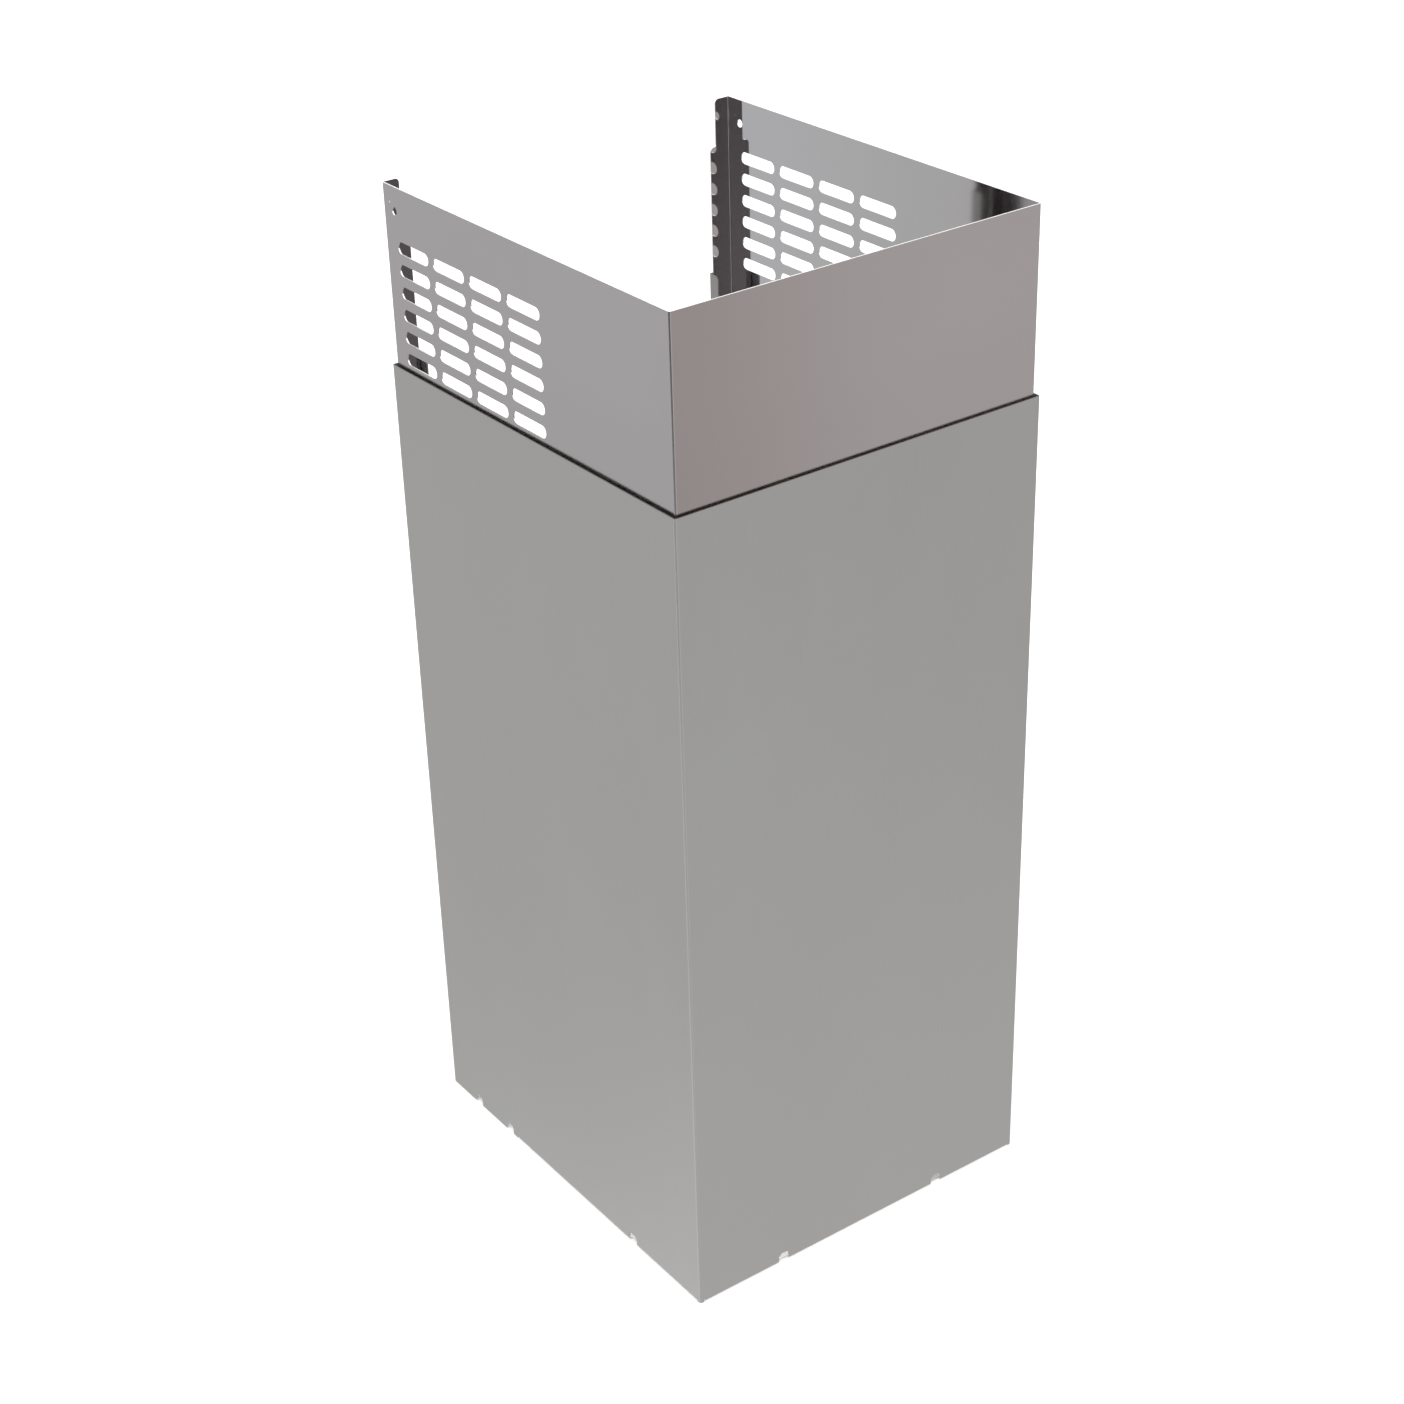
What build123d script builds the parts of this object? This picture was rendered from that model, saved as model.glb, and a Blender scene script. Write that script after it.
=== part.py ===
from build123d import *
import os

# Telescoping chimney of a wall cooker hood, in millimetres.
# The lower cover is the outer folded sheet. The upper cover slides inside it.
# Both are open at the back. The front faces -Y, the wall is at +Y, and Z = 0 is the bottom edge.

# Overall sizes of the lower cover, over its outside faces
width = 250.0
depth = 280.0
lower_height = 520.0

# Upper cover: its length, and how far it stands out of the lower cover at rest
upper_height = 518.0
raised = 110.0

# Sheet, and the radius inside its folds
sheet = 0.8
bend_radius = 0.7

# Clearances between the two covers
side_gap = 1.5
rear_gap = 1.0
channel_gap = 0.8

# Rear flanges of the upper cover, narrow at the top end
flange_width = 15.0
flange_top_width = 10.8
flange_top_length = 29.5
flange_corner = 2.5
flange_step_corner = 1.2

# The largest shares of the step's width that its outer and inner rounding may take
outer_share = 0.6
inner_share = 0.3

# Forward lip of the lower cover's rear flanges, measured over the flange's outside
lip_depth = 9.0
lip_clip = 2.0

# Vent slots in both sides of the upper cover
slot_columns = 4
slot_rows = 6
slot_length = 32.5
slot_height = 7.5
slot_pitch_y = 37.5
slot_pitch_z = 13.5
slot_rear_inset = 13.0
slot_top_drop = 35.2

# Screw hole and pilot hole near the top rear corner of both sides
screw_hole = 5.0
screw_hole_inset = 12.0
screw_hole_drop = 14.5
pilot_hole = 1.2
pilot_hole_inset = 7.3
pilot_hole_drop = 9.8

# Bottom return of the lower cover: three flanges turned inwards, with a slit at each end
# and a mitre gap at the two front corners
return_width = 10.0
return_corner_inset = 4.0
return_rear_inset = 80.0
mitre_gap = 1.5
mitre_start = 3.0
mitre_length = 40.0
slit_width = 1.0
slit_height = 2.6

# Notches in the bottom edge, all with clipped corners
notch_width = 8.0
notch_height = 6.6
notch_clip = 2.0

# Fixing notches cut through the fold, and the screw holes behind the two front ones
notch_reach = 2.2
front_notch_inset = 64.0
side_notch_inset = 70.0
fixing_hole = 3.2
fixing_hole_inset = 6.0

# Plain notches near the rear of both sides, behind the end of the return
rear_notch_insets = [32.0, 70.0]

# Cutting tools reach this far past the sheet, and a cutter for one sheet is this thick
overcut = 1.0
cutter_depth = 3.2

# Planes and half sizes that the two covers share
half_width = width / 2
front_y = -depth / 2
rear_y = depth / 2
outer_bend = bend_radius + sheet
upper_half_width = half_width - sheet - side_gap
upper_front_y = front_y + sheet + side_gap
upper_rear_y = rear_y - sheet - rear_gap
upper_top = lower_height + raised
lip_x = upper_half_width - flange_width - channel_gap - sheet


def folded_strip(points):
    """The section of a folded sheet, from its outside corners, with the sheet on the left."""
    with BuildSketch() as section:
        with BuildLine():
            FilletPolyline(*points, radius=outer_bend)
            offset(amount=sheet, side=Side.LEFT, closed=True)
        make_face()
    return section.sketch


def through_sides(shape):
    """Turns a flat shape, drawn in Y and Z, into a cutter that passes through both side panels."""
    return extrude(Plane.YZ * shape, amount=width, both=True)


def notch_cutter(reach):
    """A notch for a panel that faces -Y with its outside face on Y = 0, cut reach deep."""
    outline = Rectangle(notch_width, notch_height + overcut)
    outline = chamfer(outline.vertices().group_by(Axis.Y)[-1], notch_clip)
    notch = extrude(Plane.XZ * outline, amount=-(reach + overcut))
    return Pos(0, -overcut, (notch_height - overcut) / 2) * notch


def return_flange(length):
    """A flange along X, folded in from the bottom of a panel with its outside face on Y = 0."""
    corners = [(0, outer_bend + sheet), (0, 0), (return_width, 0)]
    return extrude(Plane.YZ * folded_strip(corners), amount=length / 2, both=True)


def fold_room(length):
    """The part of the panel that the fold replaces, with a slit past each end."""
    room = Box(length, cutter_depth, outer_bend + overcut)
    room = Pos(0, 0, (outer_bend - overcut) / 2) * room
    slit = Box(slit_width, cutter_depth, slit_height + overcut)
    slit_x = (length + slit_width) / 2
    slit_z = (slit_height - overcut) / 2
    return room + Pos(-slit_x, 0, slit_z) * slit + Pos(slit_x, 0, slit_z) * slit


def lower_shell():
    """The outer cover before its bottom edge is worked: panels, rear flanges and lips."""
    corners = [
        (-lip_x, rear_y - lip_depth),
        (-lip_x, rear_y),
        (-half_width, rear_y),
        (-half_width, front_y),
        (half_width, front_y),
        (half_width, rear_y),
        (lip_x, rear_y),
        (lip_x, rear_y - lip_depth),
    ]
    shell = extrude(folded_strip(corners), amount=lower_height)
    lip_edges = shell.edges().filter_by(Axis.X)
    lip_edges = lip_edges.filter_by(lambda edge: abs(edge.center().Y - rear_y + lip_depth) < sheet / 4)
    return chamfer(lip_edges, lip_clip)


def at_front(x):
    """Places a bottom detail on the front panel."""
    return Pos(x, front_y, 0)


def at_side(side, y):
    """Places a bottom detail on the right panel for side 1, or the left panel for side -1."""
    return Pos(side * half_width, y, 0) * Rot(0, 0, side * 90)


def make_lower_cover():
    """The outer folded sheet."""
    cover = lower_shell()
    front_length = width - 2 * return_corner_inset
    side_length = depth - return_corner_inset - return_rear_inset
    side_centre = (return_corner_inset - return_rear_inset) / 2
    places = [(at_front(0), front_length)]
    for side in (-1, 1):
        places.append((at_side(side, side_centre), side_length))
    for place, length in places:
        cover -= place * fold_room(length)
        cover += place * return_flange(length)

    # The returns meet at the two front corners with a mitre gap
    mitre = Pos(mitre_start + mitre_length / 2, 0, 0) * Box(mitre_length, mitre_gap, cutter_depth)
    for side in (-1, 1):
        corner = Pos(side * half_width, front_y, 0)
        cover -= corner * Rot(0, 0, 90 + side * 45) * mitre

    # Fixing notches, two on the front and one on each side
    notch = notch_cutter(notch_reach)
    hole = Pos(0, fixing_hole_inset, 0) * Cylinder(fixing_hole / 2, cutter_depth)
    for side in (-1, 1):
        front_place = at_front(side * (half_width - front_notch_inset))
        cover -= front_place * notch
        cover -= front_place * hole
        cover -= at_side(side, front_y + side_notch_inset) * notch

    # Plain notches near the rear of both sides
    for inset in rear_notch_insets:
        for side in (-1, 1):
            cover -= at_side(side, rear_y - inset) * notch
    return cover


def flange_edges(cover, x, z):
    """The short edges through both rear flanges, x from the middle and z up."""
    edges = cover.edges().filter_by(Axis.Y)
    edges = edges.filter_by(lambda edge: abs(abs(edge.center().X) - x) < sheet / 4)
    return edges.filter_by(lambda edge: abs(edge.center().Z - z) < sheet / 4)


def make_upper_cover():
    """The inner folded sheet, drawn standing on Z = 0 and then lifted to its rest place."""
    edge_x = upper_half_width - flange_width
    corners = [
        (-edge_x, upper_rear_y),
        (-upper_half_width, upper_rear_y),
        (-upper_half_width, upper_front_y),
        (upper_half_width, upper_front_y),
        (upper_half_width, upper_rear_y),
        (edge_x, upper_rear_y),
    ]
    cover = extrude(folded_strip(corners), amount=upper_height)

    # The top end of both rear flanges is narrower, with a step to the full width
    step_width = flange_width - flange_top_width
    step = Rectangle(step_width, flange_top_length, align=(Align.MIN, Align.MAX))
    step = Pos(edge_x, upper_height) * step
    step = extrude(Plane.XZ * step, amount=-depth)
    cover -= step + mirror(step, Plane.YZ)

    # The free corner at the top and both corners of the step are rounded
    top_edge_x = upper_half_width - flange_top_width
    step_z = upper_height - flange_top_length
    inner_corner = min(flange_step_corner, inner_share * step_width)
    outer_corner = min(flange_corner, outer_share * step_width)
    cover = fillet(flange_edges(cover, top_edge_x, step_z), inner_corner)
    cover = fillet(flange_edges(cover, edge_x, step_z), outer_corner)
    cover = fillet(flange_edges(cover, top_edge_x, upper_height), flange_corner)

    # Vent slots, the same pattern in both sides
    slots = Sketch()
    for column in range(slot_columns):
        for row in range(slot_rows):
            slot_y = upper_rear_y - slot_rear_inset - slot_length / 2 - column * slot_pitch_y
            slot_z = upper_height - slot_top_drop - row * slot_pitch_z
            slots += Pos(slot_y, slot_z) * SlotOverall(slot_length, slot_height)
    cover -= through_sides(slots)

    # Screw and pilot holes
    screw_place = Pos(upper_rear_y - screw_hole_inset, upper_height - screw_hole_drop)
    pilot_place = Pos(upper_rear_y - pilot_hole_inset, upper_height - pilot_hole_drop)
    cover -= through_sides(screw_place * Circle(screw_hole / 2))
    cover -= through_sides(pilot_place * Circle(pilot_hole / 2))
    return Pos(0, 0, upper_top - upper_height) * cover


os.makedirs("parts", exist_ok=True)
nodes = {
    "lower_cover": make_lower_cover(),
    "upper_cover": make_upper_cover(),
}
for name, shape in nodes.items():
    export_step(shape, f"parts/{name}.step")
    box = shape.bounding_box()
    print(name, len(shape.solids()), "solid,", round(shape.volume), "mm3, from", box.min, "to", box.max)
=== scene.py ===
import math

import bmesh
import bpy
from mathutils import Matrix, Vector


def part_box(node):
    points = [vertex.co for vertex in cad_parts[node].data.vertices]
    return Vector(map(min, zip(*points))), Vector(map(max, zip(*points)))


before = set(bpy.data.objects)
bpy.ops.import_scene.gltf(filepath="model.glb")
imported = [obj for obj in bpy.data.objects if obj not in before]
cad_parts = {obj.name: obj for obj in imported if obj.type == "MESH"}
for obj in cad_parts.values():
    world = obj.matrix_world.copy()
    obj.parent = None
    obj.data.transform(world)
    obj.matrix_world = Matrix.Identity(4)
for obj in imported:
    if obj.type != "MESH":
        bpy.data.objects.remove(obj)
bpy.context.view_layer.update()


# The studio
# A plain pale floor under a bright white ceiling of light, with dimmer light from the sides and below.
# The camera looks down on the front left corner of the chimney. Nothing here is part of it.
BACKDROP = 1.0
FLOOR_RADIUS = 12.0
FLOOR_PAINT = (0.9, 0.9, 0.9, 1.0)
FLOOR_ROUGHNESS = 0.9

# Strength of the light from the sides and from below, and what the ceiling adds to that from the sides
SIDE_LIGHT, LOW_LIGHT, CEILING_LIGHT = 0.50, 0.62, 1.3

# Wide patches of more light, or less. Each has the azimuth, counted from +X, and the elevation of its middle
# and its reach, all in degrees, and then its strength.
SKY_PATCHES = [
    # Right rear, high and just below level
    (50, 42, 26, -1.1),
    (50, -12, 14, -0.19),
    # Left rear, from just below level to far below
    (125, -22, 40, 0.04),
    (125, -38, 14, -0.085),
    (125, -56, 20, 0.42),
    # Left, left front and front, below level
    (185, -17, 16, -0.56),
    (220, -17, 16, -0.56),
    (262, -22, 24, 0.12),
]

# The inside of the chimney mirrors itself over and over, which takes more bounces than usual.
MIRROR_BOUNCES = 12

scene = bpy.context.scene
scene.view_settings.view_transform = "Standard"
scene.cycles.glossy_bounces = MIRROR_BOUNCES


def add(tree, kind, sockets=None, **settings):
    """Adds a shader node. Settings are its properties, and sockets its inputs by name or number."""
    made = tree.nodes.new("ShaderNode" + kind)
    for name, value in settings.items():
        setattr(made, name, value)
    for key, value in (sockets or {}).items():
        if isinstance(value, bpy.types.NodeSocket):
            tree.links.new(value, made.inputs[key])
        else:
            made.inputs[key].default_value = value
    return made


def work_out(tree, operation, *values):
    """A Math node on the values."""
    return add(tree, "Math", dict(enumerate(values)), operation=operation).outputs["Value"]


def total(tree, *values):
    """All the values added up."""
    result = values[0]
    for value in values[1:]:
        result = work_out(tree, "ADD", result, value)
    return result


def ease(tree, value, start, end, low=0.0, high=1.0):
    """A smooth step from low, where the value is at start, to high, where it is at end."""
    sockets = {"Value": value, "From Min": start, "From Max": end, "To Min": low, "To Max": high}
    return add(tree, "MapRange", sockets, interpolation_type="SMOOTHSTEP").outputs["Result"]


def light_patch(tree, direction, azimuth_deg, elevation_deg, reach_deg, strength):
    """A soft round patch of more light, or less, in one direction of the sky."""
    azimuth, elevation = math.radians(azimuth_deg), math.radians(elevation_deg)
    level = math.cos(elevation)
    middle = (level * math.cos(azimuth), level * math.sin(azimuth), math.sin(elevation))
    sockets = {0: direction, 1: middle}
    nearness = add(tree, "VectorMath", sockets, operation="DOT_PRODUCT").outputs["Value"]
    return ease(tree, nearness, math.cos(math.radians(reach_deg)), 1.0, 0.0, strength)


world = bpy.data.worlds.new("soft_white")
world.use_nodes = True
sky = world.node_tree
look = add(sky, "TexCoord").outputs["Generated"]
height = add(sky, "SeparateXYZ", {"Vector": look}).outputs["Z"]
from_below = ease(sky, height, -0.35, -0.70, SIDE_LIGHT, LOW_LIGHT)
from_above = ease(sky, height, -0.02, 0.30, 0.0, CEILING_LIGHT)
patches = [light_patch(sky, look, *patch) for patch in SKY_PATCHES]
radiance = total(sky, from_below, from_above, *patches)
# The camera sees a plain white backdrop in place of this light.
seen_directly = add(sky, "LightPath").outputs["Is Camera Ray"]
strength = add(sky, "Mix", {"Factor": seen_directly, "A": radiance, "B": BACKDROP}).outputs["Result"]
sky.links.new(strength, sky.nodes["Background"].inputs["Strength"])
sky.nodes["Background"].inputs["Color"].default_value = (1.0, 1.0, 1.0, 1.0)
scene.world = world

floor_shape = bmesh.new()
bmesh.ops.create_circle(floor_shape, cap_ends=True, segments=96, radius=FLOOR_RADIUS)
floor_mesh = bpy.data.meshes.new("floor")
floor_shape.to_mesh(floor_mesh)
floor_shape.free()
floor = bpy.data.objects.new("floor", floor_mesh)
# The steel mirrors the light from below, not the floor.
floor.visible_glossy = False
scene.collection.objects.link(floor)

floor_paint = bpy.data.materials.new("pale_floor")
floor_paint.use_nodes = True
floor_shader = floor_paint.node_tree.nodes["Principled BSDF"]
floor_shader.inputs["Base Color"].default_value = FLOOR_PAINT
floor_shader.inputs["Roughness"].default_value = FLOOR_ROUGHNESS
floor_mesh.materials.append(floor_paint)

camera = bpy.data.objects.new("camera", bpy.data.cameras.new("camera"))
camera.location = (-0.8266, -1.1293, 1.0863)
camera.rotation_euler = [math.radians(angle) for angle in (61.073, 2.685, -34.377)]
camera.data.sensor_width = 36.0
camera.data.lens = 67.548
camera.data.shift_x = 0.0855
scene.collection.objects.link(camera)
scene.camera = camera


# Lower cover
# The outer folded sheet, satin stainless steel 0.8 mm thick, with a fine upright grain. Its inside is left
# dull, as rolled, and darkened by painted shade. Holes and notches are punched: their rims are bright next to
# the outside and dull behind.
SHEET = 0.0008

# How far from a corner the rounding of a fold ends, with some room
FOLD = 0.003

# How squarely a face has to face a direction to count as facing it, or as edge on to it
SQUARE_ON = 0.9
MOSTLY = 0.6
FACING = 0.5
EDGE_ON = 0.1

# Depth of the grain
GRAIN_DEPTH = 0.0000006

# The tops of the notches lie between these heights
NOTCH_FROM, NOTCH_TO = 0.003, 0.010

# The top of the bottom return lies below this height
RETURN_TO = 0.0015

# The sheared top edge lies less than this below the top
TOP_EDGE = 0.003

# Tints. The fold tint is a painted highlight, the inside's is darkened by painted shade, the return top's is
# painted light and the top edge's is painted shade.
SATIN, SATIN_COOL = (0.604, 0.590, 0.574, 1.0), (0.596, 0.592, 0.577, 1.0)
FOLD_HIGHLIGHT = (0.76, 0.75, 0.73, 1.0)
ROLLED_AND_SHADED = (0.42, 0.41, 0.40, 1.0)
RETURN_PAINTED_LIGHT = (0.86, 0.85, 0.84, 1.0)
PUNCHED = (0.88, 0.875, 0.86, 1.0)
TOP_EDGE_SHADE = (0.13, 0.125, 0.12, 1.0)

# Roughness of the outside, the inside and the cut edges
SATIN_SHEEN, ROLLED_SHEEN, CUT_SHEEN = 0.30, 0.50, 0.42


class Sheet:
    """The node tree of a folded sheet's steel, with the masks that tell its faces, folds and cut edges."""

    def __init__(self, name, node, cloud_scale):
        self.paint = bpy.data.materials.new(name)
        self.paint.use_nodes = True
        self.tree = self.paint.node_tree
        self.shader = self.tree.nodes["Principled BSDF"]
        self.shader.inputs["Metallic"].default_value = 1.0
        low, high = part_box(node)
        self.half_width, self.front, self.rear, self.top = high.x, low.y, high.y, high.z
        coordinates = add(self.tree, "TexCoord")
        self.place = coordinates.outputs["Object"]
        place = add(self.tree, "SeparateXYZ", {"Vector": self.place}).outputs
        facing = add(self.tree, "SeparateXYZ", {"Vector": coordinates.outputs["Normal"]}).outputs
        self.x, self.y, self.z = place["X"], place["Y"], place["Z"]
        self.from_middle = self.work_out("ABSOLUTE", self.x)
        self.facing_side = self.work_out("ABSOLUTE", facing["X"])
        self.facing_up = self.work_out("ABSOLUTE", facing["Z"])
        self.grain = self.noise((2600.0, 2600.0, 35.0))
        self.clouds = self.noise(cloud_scale)
        self.smears = self.noise((60.0, 60.0, 14.0), 4.0)

    def work_out(self, operation, *values):
        return work_out(self.tree, operation, *values)

    def ease(self, value, start, end, low=0.0, high=1.0):
        return ease(self.tree, value, start, end, low, high)

    def above(self, value, limit):
        return self.work_out("GREATER_THAN", value, limit)

    def below(self, value, limit):
        return self.work_out("LESS_THAN", value, limit)

    def product(self, *values):
        """All the values multiplied. Of masks, the part that they share."""
        result = values[0]
        for value in values[1:]:
            result = self.work_out("MULTIPLY", result, value)
        return result

    def either(self, *masks):
        result = masks[0]
        for mask in masks[1:]:
            result = self.work_out("MAXIMUM", result, mask)
        return result

    def mix(self, mask, value, other):
        """One number where the mask is 0, the other where it is 1."""
        return add(self.tree, "Mix", {"Factor": mask, "A": value, "B": other}).outputs["Result"]

    def mix_colour(self, mask, colour, other, blend="MIX"):
        """One colour where the mask is 0, the other, or its blend with the first, where it is 1."""
        mixed = add(self.tree, "Mix", data_type="RGBA", blend_type=blend)
        for key, value in ((0, mask), (6, colour), (7, other)):
            if isinstance(value, bpy.types.NodeSocket):
                self.tree.links.new(value, mixed.inputs[key])
            else:
                mixed.inputs[key].default_value = value
        return mixed.outputs[2]

    def inside(self):
        """The face of the sheet that looks into the chimney."""
        half_sheet = SHEET / 2
        return self.product(
            self.below(self.from_middle, self.half_width - half_sheet),
            self.above(self.y, self.front + half_sheet),
            self.below(self.y, self.rear - half_sheet),
        )

    def ends(self, lowest=0.0, highest=1.0):
        """The sheared ends of the sheet: all that faces up or down between two heights."""
        level = self.above(self.facing_up, MOSTLY)
        return self.product(level, self.above(self.z, lowest), self.below(self.z, highest))

    def rims(self):
        """The rims of the holes in the side panels, in the outer half of the sheet's thickness."""
        return self.product(
            self.above(self.from_middle, self.half_width - SHEET / 2),
            self.above(self.y, self.front + FOLD),
            self.below(self.y, self.rear - FOLD),
            self.below(self.facing_side, FACING),
        )

    def flange_ends(self):
        """The free edges of the rear flanges."""
        a_little_over = 1.01
        return self.product(
            self.above(self.y, self.rear - SHEET * a_little_over),
            self.below(self.from_middle, self.half_width - FOLD),
            self.above(self.facing_side, FACING),
        )

    def noise(self, scale, detail=2.0):
        """A noise from 0 to 1, finer with a larger scale along X, Y and Z, in cells a metre."""
        stretched = add(self.tree, "Mapping", {"Vector": self.place, "Scale": scale})
        sockets = {"Vector": stretched.outputs["Vector"], "Scale": 1.0, "Detail": detail}
        return add(self.tree, "TexNoise", sockets).outputs["Fac"]

    def vary(self, noise, least, most):
        """The noise spread over a range."""
        sockets = {"Value": noise, "From Min": 0.3, "From Max": 0.7, "To Min": least, "To Max": most}
        return add(self.tree, "MapRange", sockets).outputs["Result"]

    def vary_tint(self, tint):
        """The tint with the fine lines of the grain and with faint clouds."""
        lines = self.vary(self.grain, -0.008, 0.008)
        clouds = self.vary(self.clouds, 0.99, 1.01)
        return self.mix_colour(1.0, tint, self.work_out("ADD", lines, clouds), "MULTIPLY")

    def vary_sheen(self, sheen, by_grain, by_smears):
        """The roughness, more or less by the grain and by wiped smears."""
        lines = self.vary(self.grain, -by_grain, by_grain)
        smears = self.vary(self.smears, -by_smears, by_smears)
        return total(self.tree, sheen, lines, smears)

    def bump(self, height, distance, below=None):
        """A bump of a height, given in units of a distance in metres, over another one."""
        sockets = {"Height": height, "Distance": distance, "Strength": 1.0}
        if below is not None:
            sockets["Normal"] = below
        return add(self.tree, "Bump", sockets).outputs["Normal"]

    def finish(self, colour, roughness, normal):
        for key, value in (("Base Color", colour), ("Roughness", roughness), ("Normal", normal)):
            self.tree.links.new(value, self.shader.inputs[key])
        return self.paint


satin = Sheet("outer_steel", "lower_cover", (7.0, 7.0, 5.0))
satin_inside = satin.inside()
punched = satin.either(satin.ends(NOTCH_FROM, NOTCH_TO), satin.rims(), satin.flange_ends())
sheared = satin.ends(satin.top - TOP_EDGE)

tint = satin.mix_colour(satin.vary(satin.clouds, 0.0, 1.0), SATIN, SATIN_COOL)
# The outer half of each upright fold has a painted highlight, lighter than the faces.
painted_fold_highlight = satin.product(
    satin.ease(satin.facing_side, 0.5, 0.72),
    satin.ease(satin.facing_side, 1.0, 0.985),
    satin.below(satin.facing_up, EDGE_ON),
)
tint = satin.mix_colour(painted_fold_highlight, tint, FOLD_HIGHLIGHT)
# The inside is dull, as rolled, and its tint is darkened as painted shade for the dark inside of the chimney
# and the gap between the covers.
tint = satin.mix_colour(satin_inside, tint, ROLLED_AND_SHADED)
# The top of the bottom return is painted light, so that it shows bright through the notches.
painted_return_light = satin.product(satin_inside, satin.below(satin.z, RETURN_TO))
tint = satin.mix_colour(painted_return_light, tint, RETURN_PAINTED_LIGHT)
tint = satin.vary_tint(tint)
tint = satin.mix_colour(punched, tint, PUNCHED)
# The sheared top edge is painted dark, a painted shade for the shadow in the gap between the covers.
tint = satin.mix_colour(sheared, tint, TOP_EDGE_SHADE)

sheen = satin.mix(satin_inside, SATIN_SHEEN, ROLLED_SHEEN)
sheen = satin.vary_sheen(sheen, 0.015, 0.02)
sheen = satin.mix(satin.either(punched, sheared), sheen, CUT_SHEEN)
relief = satin.bump(satin.grain, GRAIN_DEPTH)
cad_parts["lower_cover"].data.materials[0] = satin.finish(tint, sheen, relief)


# Upper cover
# The inner folded sheet, bright annealed stainless steel of a slightly pinkish tone, almost a mirror inside.
# Its side panels bow in and its rear flanges are bent a little past square, which shifts what they mirror.
BOW = 0.0030
FLARE = 0.0013
PAST_SQUARE = math.tan(math.radians(1.1))

# Pilot hole from the rear and from the top, and how far the painted shade on its rim reaches from its middle
PILOT_INSET, PILOT_DROP = 0.0073, 0.0098
PILOT_REACH = 0.0015

# Tints of the outside. The front's darker left end is painted shade.
BRIGHT, BRIGHT_COOL = (0.647, 0.619, 0.629, 1.0), (0.637, 0.626, 0.628, 1.0)
FRONT_LIT_RIGHT, FRONT_SHADED_LEFT = (0.677, 0.620, 0.620, 1.0), (0.564, 0.497, 0.479, 1.0)

# Tints of the inside, which carry painted light and shade
MIRROR_SHADED_FRONT, MIRROR_LIT_REAR = (0.660, 0.645, 0.650, 1.0), (0.735, 0.735, 0.755, 1.0)
MIRROR_FOLD_HIGHLIGHT = (0.820, 0.805, 0.810, 1.0)
MIRROR_PAINTED_LIGHT = (0.96, 0.95, 0.96, 1.0)
FLANGE_LIT_LOW, FLANGE_SHADED_TOP = (0.665, 0.607, 0.605, 1.0), (0.595, 0.545, 0.545, 1.0)

# Tints of the cut edges and of the painted shade on the pilot hole's rim, and what is left of a tint where
# the outside is darker near the lower cover and in the painted shade of the left flange
BRIGHT_CUT = (0.88, 0.87, 0.86, 1.0)
RIM_PAINTED_SHADE = (0.10, 0.095, 0.095, 1.0)
LEFT_NEAR_LOWER_COVER = 0.970
LEFT_BY_PAINTED_SHADE = 0.47

# Roughness of the outside and the inside
BRIGHT_SHEEN, MIRROR_SHEEN = 0.16, 0.05

bright = Sheet("inner_steel", "upper_cover", (11.0, 11.0, 9.0))
bright_inside = bright.inside()
bright_cut = bright.either(bright.ends(), bright.rims(), bright.flange_ends())
on_left, on_right = bright.below(bright.x, 0.0), bright.above(bright.x, 0.0)
on_side = bright.above(bright.facing_side, SQUARE_ON)
on_flange = bright.product(
    bright.above(bright.y, bright.rear - SHEET * 1.5),
    bright.below(bright.y, bright.rear - SHEET / 2),
    bright.below(bright.facing_side, EDGE_ON),
)

tint = bright.mix_colour(bright.vary(bright.clouds, 0.0, 1.0), BRIGHT, BRIGHT_COOL)
# The front is rosier, and a painted shade darkens it towards the left.
on_front = bright.product(
    bright.below(bright.y, bright.front + SHEET / 4),
    bright.below(bright.facing_side, SQUARE_ON),
)
rosy_painted_shade = bright.mix_colour(bright.ease(bright.x, 0.05, -0.16), FRONT_LIT_RIGHT, FRONT_SHADED_LEFT)
tint = bright.mix_colour(on_front, tint, rosy_painted_shade)
# The outside is a little darker in the part that stays in the lower cover, and a little above it.
darker_near_lower_cover = bright.ease(bright.z, 0.530, 0.585, LEFT_NEAR_LOWER_COVER, 1.0)
tint = bright.mix_colour(1.0, tint, darker_near_lower_cover, "MULTIPLY")
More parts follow.
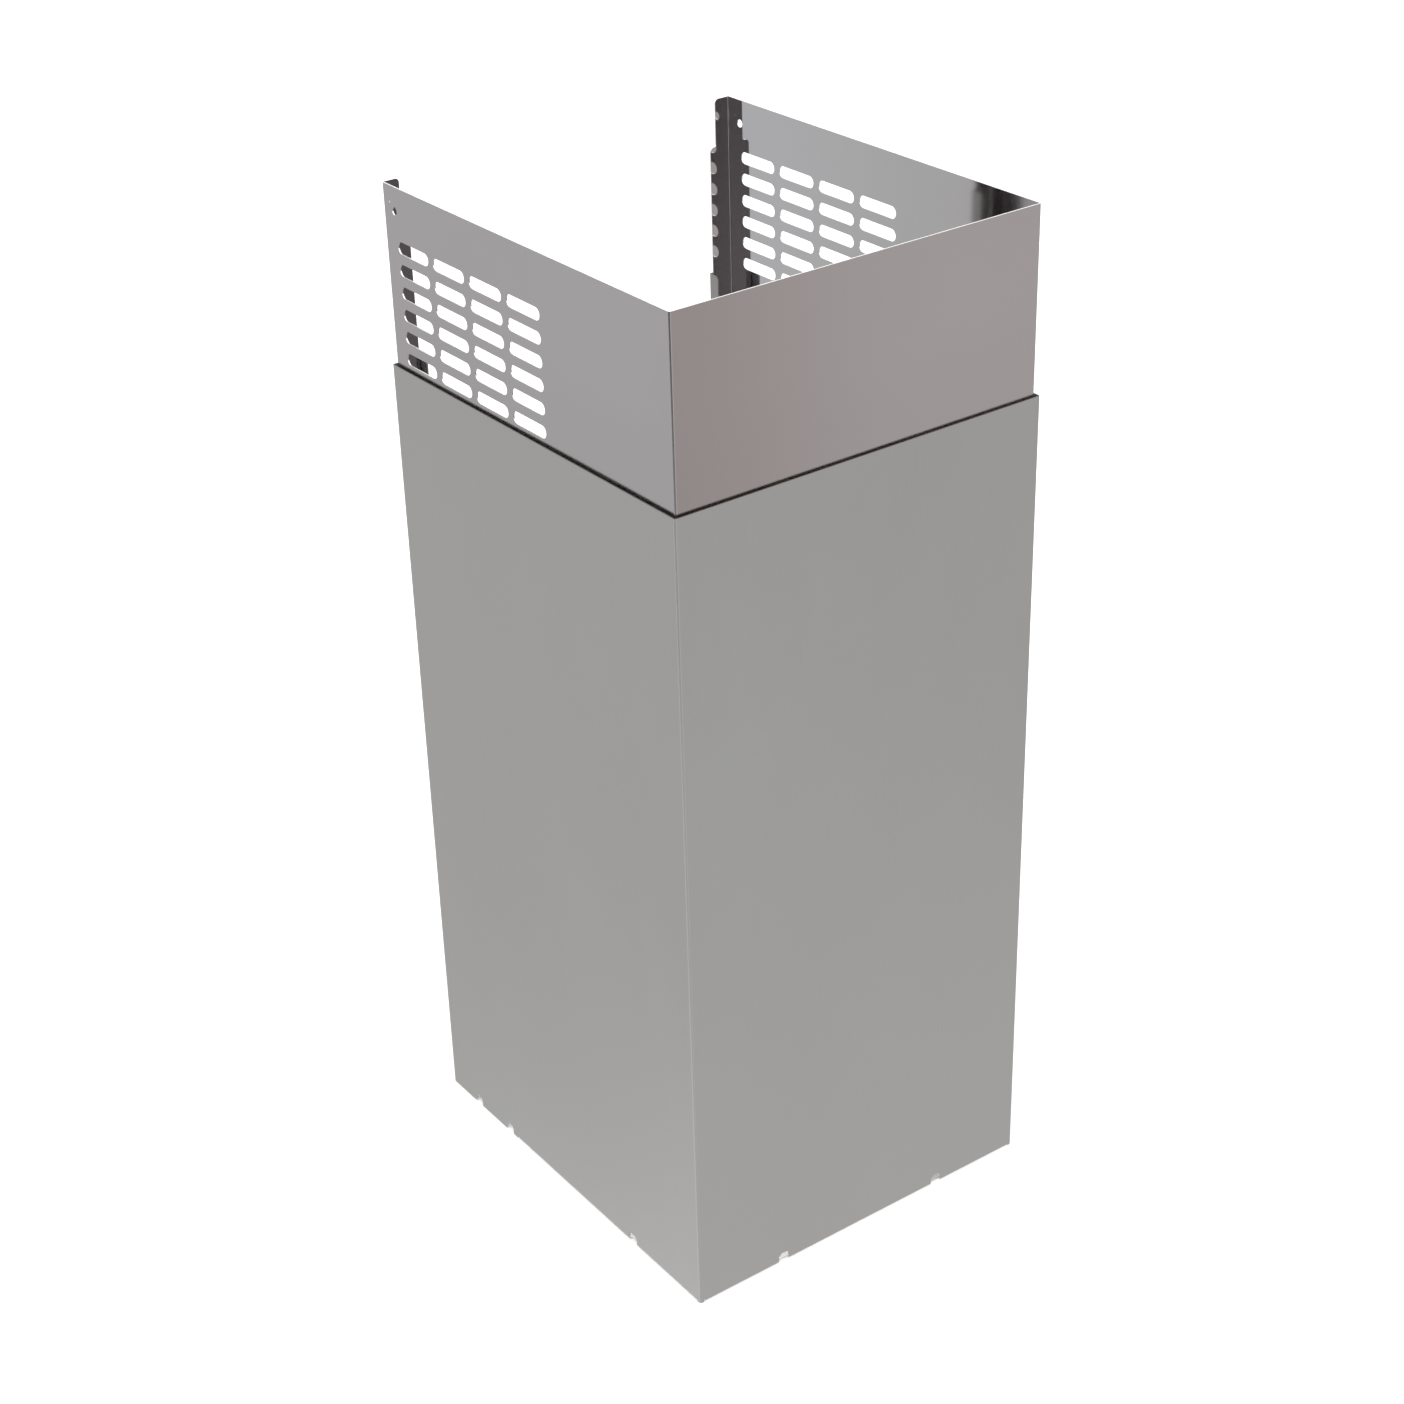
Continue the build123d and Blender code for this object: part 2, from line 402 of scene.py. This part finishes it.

# The inside is painted lighter towards the open rear and darker towards the front. The right side has a
# painted highlight next to the front fold too, and the left one has painted light at its rear end.
mirror = bright.mix_colour(bright.ease(bright.y, -0.11, 0.13), MIRROR_SHADED_FRONT, MIRROR_LIT_REAR)
painted_front_fold_highlight = bright.product(on_right, on_side, bright.ease(bright.y, -0.085, -0.105))
mirror = bright.mix_colour(painted_front_fold_highlight, mirror, MIRROR_FOLD_HIGHLIGHT)
painted_rear_light = bright.product(on_left, bright.ease(bright.y, 0.06, 0.11))
mirror = bright.mix_colour(painted_rear_light, mirror, MIRROR_PAINTED_LIGHT)
tint = bright.mix_colour(bright_inside, tint, mirror)

# The inside of the rear flanges is darkened by painted shade, most of all at the top, and the left one is
# darker still.
flange = bright.mix_colour(bright.ease(bright.z, 0.550, 0.628), FLANGE_LIT_LOW, FLANGE_SHADED_TOP)
flange = bright.mix_colour(1.0, flange, bright.mix(on_right, LEFT_BY_PAINTED_SHADE, 1.0), "MULTIPLY")
tint = bright.mix_colour(on_flange, tint, flange)
tint = bright.vary_tint(tint)
tint = bright.mix_colour(bright_cut, tint, BRIGHT_CUT)

# The rim of the right pilot hole is painted dark: painted shade, as it catches no light.
pilot_hole = (bright.half_width - SHEET / 2, bright.rear - PILOT_INSET, bright.top - PILOT_DROP)
sockets = {0: bright.place, 1: pilot_hole}
from_pilot = add(bright.tree, "VectorMath", sockets, operation="DISTANCE").outputs["Value"]
painted_rim_shade = bright.product(
    bright.below(from_pilot, PILOT_REACH), bright.below(bright.facing_side, FACING)
)
tint = bright.mix_colour(painted_rim_shade, tint, RIM_PAINTED_SHADE)

sheen = bright.mix(bright_inside, BRIGHT_SHEEN, MIRROR_SHEEN)
sheen = bright.vary_sheen(sheen, 0.005, 0.005)
sheen = bright.mix(bright_cut, sheen, CUT_SHEEN)

# The bow of the sides is deepest midway between front and rear, and the right side also flares a little
# towards its front fold. A bump rises the way its face looks, so it is turned round on the outside.
half_wave = bright.work_out("MULTIPLY", bright.y, math.pi / 2 / bright.rear)
arch = bright.work_out("COSINE", half_wave)
bow = bright.product(arch, arch, BOW)
in_front_half = bright.below(bright.y, 0.0)
flare = bright.product(arch, bright.work_out("SUBTRACT", 1.0, arch), in_front_half, on_right, FLARE)
inwards = bright.mix(bright_inside, -1.0, 1.0)
relief = bright.bump(bright.product(bright.work_out("ADD", bow, flare), inwards, on_side), 1.0)

# The inside of a rear flange leans forward from its fold to its free edge.
from_fold = bright.work_out("SUBTRACT", bright.half_width, bright.from_middle)
relief = bright.bump(bright.product(from_fold, on_flange), PAST_SQUARE, relief)
relief = bright.bump(bright.grain, GRAIN_DEPTH, relief)
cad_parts["upper_cover"].data.materials[0] = bright.finish(tint, sheen, relief)
